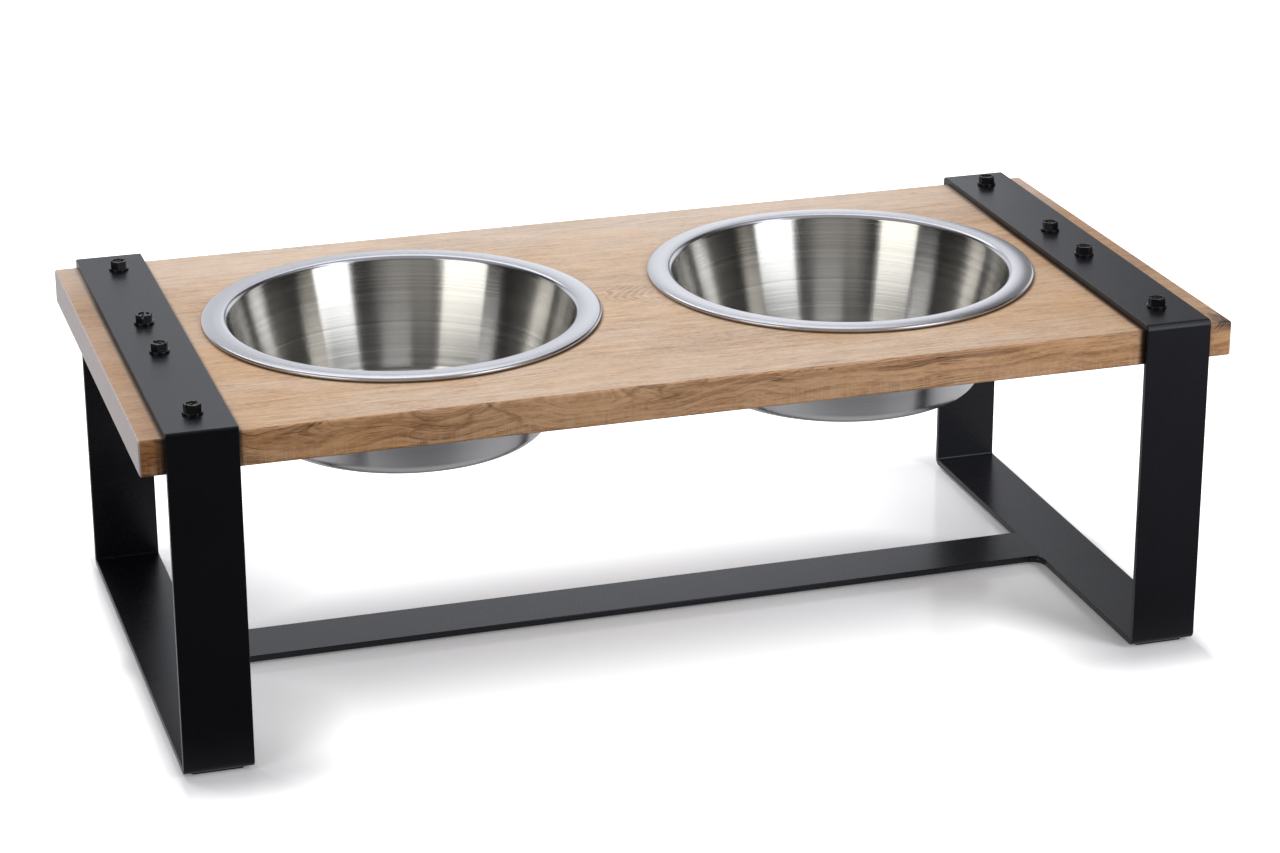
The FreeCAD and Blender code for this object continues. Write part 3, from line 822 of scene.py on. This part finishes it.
# %% Bend the bar round
BAR_THICK, BAR_ARRIS = 4.0 * MM, 0.5 * MM
INSIDE_BEND, FOOT_BEND = 1.0 * MM, 5.0 * MM
TOP_BEND = {"left": 1.6 * MM, "right": 3.2 * MM}


def corner_edges(loop, middle, corner, on_top):
    """Finds the edges along X at the corners that lie this far from the middle, on top or not."""
    found = []
    for edge in loop.edges:
        first, second = (vert.co - middle for vert in edge.verts)
        off_corner = max(abs(abs(first.y) - corner.y), abs(abs(first.z) - corner.z))
        if abs(first.x - second.x) > MM and off_corner < MM / 10 and (first.z > 0) in on_top:
            found.append(edge)
    return found


def make_loop(node, top_bend):
    low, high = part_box(node)
    middle, half = (low + high) / 2, (high - low) / 2
    loop = bmesh.new()
    bmesh.ops.create_cube(loop, size=1.0)
    bmesh.ops.scale(loop, vec=high - low, verts=loop.verts)
    bmesh.ops.translate(loop, vec=middle, verts=loop.verts)
    ends = [face for face in loop.faces if abs(face.normal.x) > 0.9]
    bmesh.ops.delete(loop, geom=ends, context="FACES_ONLY")
    bmesh.ops.recalc_face_normals(loop, faces=loop.faces)
    bmesh.ops.solidify(loop, geom=loop.faces[:], thickness=BAR_THICK)
    inside = half - Vector((0, BAR_THICK, BAR_THICK))
    round_edges(loop, corner_edges(loop, middle, inside, (True, False)), INSIDE_BEND, 4)
    round_edges(loop, corner_edges(loop, middle, half, (False,)), FOOT_BEND, 8)
    round_edges(loop, corner_edges(loop, middle, half, (True,)), top_bend, 8)
    round_edges(loop, sharp_edges(loop), BAR_ARRIS, 2)
    return loop


for side in ("left", "right"):
    node = f"{side}_leg_loop"
    loop = make_loop(node, TOP_BEND[side])
    add_piece(loop, f"{side}_flat_bar_loop", [POWDER_COAT], "stand", node)

# %% [markdown]
# ## The stretcher
# A length of the same bar lies flat between the loops and is welded to them. It is a plain bar,
# so a cube with rounded long edges is enough. On the front side the weld was dressed into a
# hollow fillet: an arc is spun from one vertex, closed with the corner, and raised.

# %% A bar and two weld fillets
FILLET = 8.0 * MM


def make_stretcher():
    low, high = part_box("stretcher")
    bar = bmesh.new()
    bmesh.ops.create_cube(bar, size=1.0)
    bmesh.ops.scale(bar, vec=high - low, verts=bar.verts)
    bmesh.ops.translate(bar, vec=(low + high) / 2, verts=bar.verts)
    long_edges = [edge for edge in bar.edges if abs(edge.verts[0].co.x - edge.verts[1].co.x) > MM]
    round_edges(bar, long_edges, BAR_ARRIS, 2)
    return bar


def make_fillet(sign):
    low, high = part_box("stretcher")
    corner = Vector((sign * high.x, low.y, low.z))
    fillet = bmesh.new()
    start = fillet.verts.new(corner + Vector((-sign * FILLET, 0, 0)))
    hub = corner + Vector((-sign * FILLET, -FILLET, 0))
    bmesh.ops.spin(
        fillet, geom=[start], cent=hub, axis=(0, 0, -sign), dvec=(0, 0, 0),
        angle=math.radians(90), steps=10, use_duplicate=False,
    )
    arc_end = min(fillet.verts, key=lambda vert: vert.co.y)
    nook = fillet.verts.new(corner)
    fillet.edges.new((nook, start))
    fillet.edges.new((nook, arc_end))
    bmesh.ops.contextual_create(fillet, geom=fillet.edges[:])
    raised = bmesh.ops.extrude_face_region(fillet, geom=fillet.faces[:])["geom"]
    top = [item for item in raised if isinstance(item, bmesh.types.BMVert)]
    bmesh.ops.translate(fillet, vec=(0, 0, high.z - low.z), verts=top)
    bmesh.ops.recalc_face_normals(fillet, faces=fillet.faces)
    return fillet


add_piece(make_stretcher(), "floor_stretcher", [POWDER_COAT], "stand", "stretcher")
for side, sign in (("left", -1), ("right", 1)):
    add_piece(make_fillet(sign), f"{side}_weld_fillet", [POWDER_COAT], "stand")

# %% [markdown]
# ## The bowls
# A spun bowl is a profile turned round an axis, and Spin does just that. The profile starts as
# a few points: the middle of the floor, the floor's corner, the mouth, the crown of the flange, its
# edge and the lip that turns down onto the wood. Bevelling the points rounds them before the
# turn, and Solidify gives the sheet its thickness on the hidden side. The flange is slightly
# crowned, as pressed sheet is, so its sheen changes as it goes round. At the end each face is told
# which of the three steels it shows.

# %% Turn the bowls
PROFILE = [
    # radius and height of each corner, and how far its rounding reaches
    (0.0, 132.3, 0.0), (84.0, 132.3, 6.7), (102.9, 203.3, 2.0), (109.6, 204.25, 4.5),
    (116.8, 203.5, 0.7), (117.5, 202.9, 0.3), (117.5, 201.0, 0.0),
]
FLOOR_TOP, RIM_TOP, MOUTH_RADIUS = 132.3 * MM, 204.0 * MM, 103.0 * MM
SHEET = 0.8 * MM
WALL, FLANGE, OUTSIDE = 0, 1, 2


def round_corner(profile, vert, size, segments):
    bmesh.ops.bevel(
        profile, geom=[vert], offset=size, offset_type="OFFSET", segments=segments,
        profile=0.5, affect="VERTICES", material=-1,
    )


def make_bowl(centre_x):
    bowl = bmesh.new()
    verts = [
        bowl.verts.new((centre_x + radius * MM, BOWL_Y, height * MM))
        for radius, height, _ in PROFILE
    ]
    for first, second in zip(verts, verts[1:]):
        bowl.edges.new((first, second))
    for vert, (_, _, reach) in zip(verts, PROFILE):
        if reach:
            round_corner(bowl, vert, reach * MM, 12)
    bmesh.ops.spin(
        bowl, geom=bowl.verts[:] + bowl.edges[:], cent=(centre_x, BOWL_Y, 0), axis=(0, 0, 1),
        dvec=(0, 0, 0), angle=math.radians(360), steps=180, use_merge=True, use_duplicate=False,
    )
    bmesh.ops.remove_doubles(bowl, verts=bowl.verts, dist=1e-6)
    bmesh.ops.recalc_face_normals(bowl, faces=bowl.faces)
    return bowl


def finish_bowl(bowl, centre_x):
    up = [face for face in bowl.faces if abs(face.calc_center_median().z - FLOOR_TOP) < MM / 100]
    if up[0].normal.z < 0:
        bmesh.ops.reverse_faces(bowl, faces=bowl.faces)
    bmesh.ops.solidify(bowl, geom=bowl.faces[:], thickness=SHEET)
    for face in bowl.faces:
        middle = face.calc_center_median()
        out = Vector((middle.x - centre_x, middle.y - BOWL_Y, 0))
        on_flange = out.length > MOUTH_RADIUS - 0.3 * MM and middle.z > RIM_TOP - 4 * MM
        faces_down = face.normal.z < -0.1
        face.material_index = FLANGE if on_flange else OUTSIDE if faces_down else WALL
    return bowl


for side, sign in (("left", -1), ("right", 1)):
    node = f"{side}_bowl"
    bowl = finish_bowl(make_bowl(sign * BOWL_X), sign * BOWL_X)
    add_piece(bowl, f"{side}_spun_bowl", [BRUSHED, SATIN, SPUN], node, node, even=False)

# %% [markdown]
# ## Screws and foot pads
# The CAD solids of the screws already have the hexagon, the washer, the dish and the slot, and the
# pads are plain blocks, so they stay. They only get their finishes. On the screws, Weld joins the
# CAD's loose triangles and Bevel takes the razor edge off, so that their rims catch the light.

# %% Dress the screws and the pads
for name, solid in sorted(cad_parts.items()):
    if "_screw_" in name or name.endswith("_foot_pad"):
        solid.data.materials.clear()
        solid.data.materials.append(SCREW_BLACK if "_screw_" in name else RUBBER)
    if "_screw_" in name:
        solid.modifiers.new("join", "WELD").merge_threshold = 1e-5
        worn = solid.modifiers.new("worn_edges", "BEVEL")
        worn.width, worn.segments, worn.angle_limit = 0.22 * MM, 2, math.radians(40)
        solid.modifiers.new("even_shading", "WEIGHTED_NORMAL")
print("dressed", sum("_screw_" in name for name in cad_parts), "screws")
